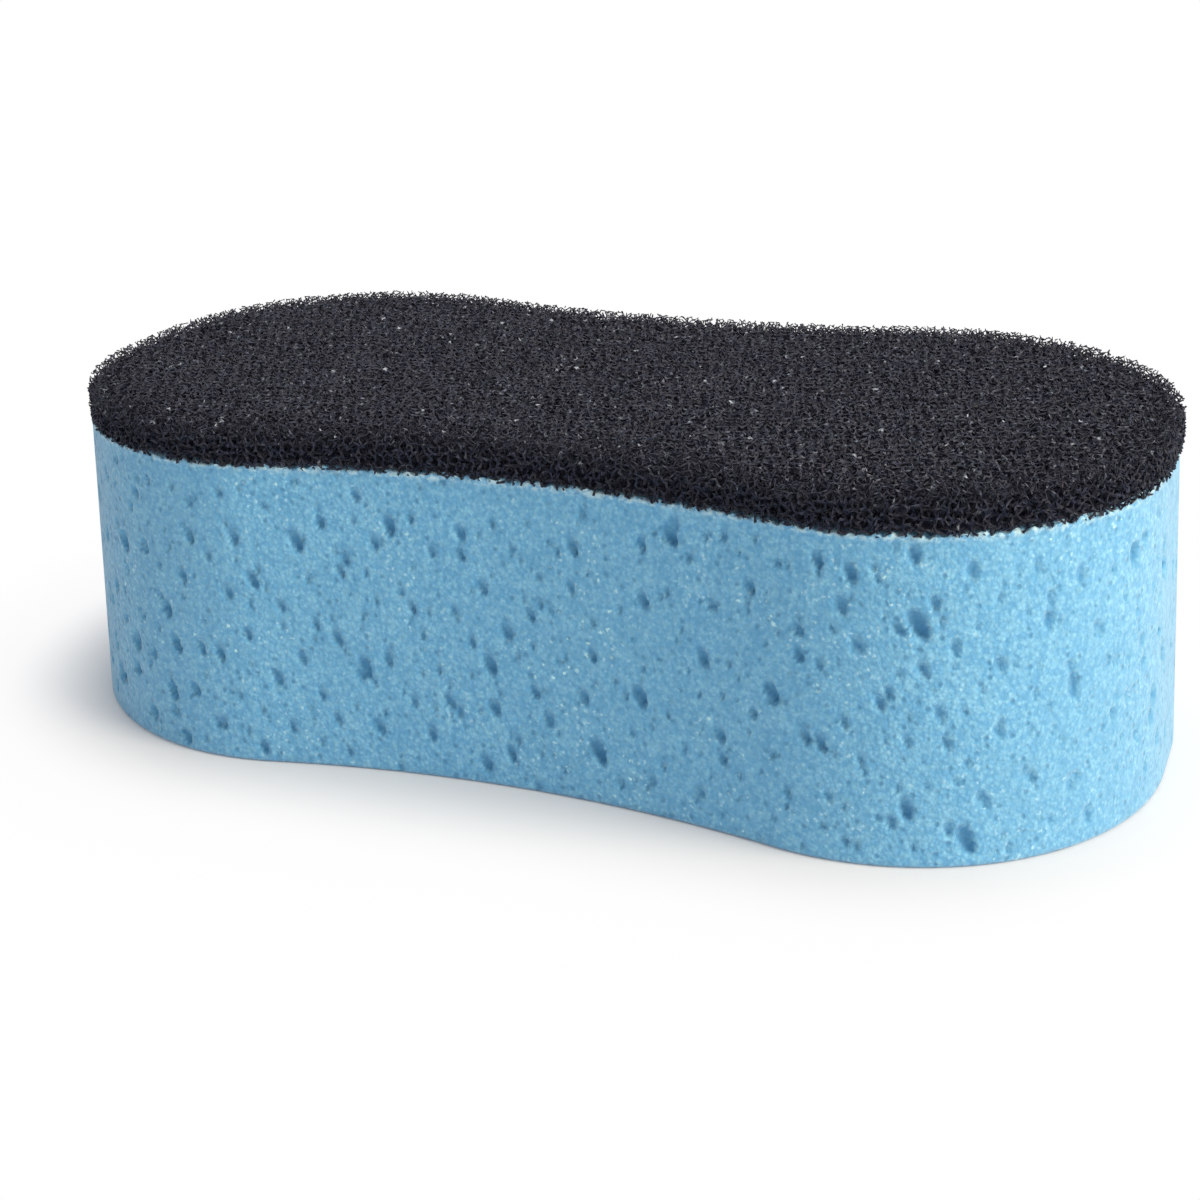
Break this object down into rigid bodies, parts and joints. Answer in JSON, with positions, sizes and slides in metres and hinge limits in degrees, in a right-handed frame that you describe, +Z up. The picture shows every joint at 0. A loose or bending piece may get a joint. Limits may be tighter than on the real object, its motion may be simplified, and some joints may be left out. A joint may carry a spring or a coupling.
{
  "type": "cleaning sponge",
  "caption": "Waisted wash sponge: soft light-blue foam block with open pits, and a black open-cell scrub pad bonded on top.",
  "frame": {"origin": "middle of the foam block's flat base, on the surface that the sponge stands on", "axes": "+X along the length, +Y across the waist, +Z up through the black scrub pad"},
  "size_m": [0.2, 0.1, 0.061],
  "materials": {
    "soft_foam": "soft open-pored polyurethane foam, cut faces",
    "scrub_foam": "coarse open-cell (reticulated) foam"
  },
  "bodies": {
    "root": {"foam_body": "soft_foam", "scrub_pad": "scrub_foam"}
  },
  "joints": []
}
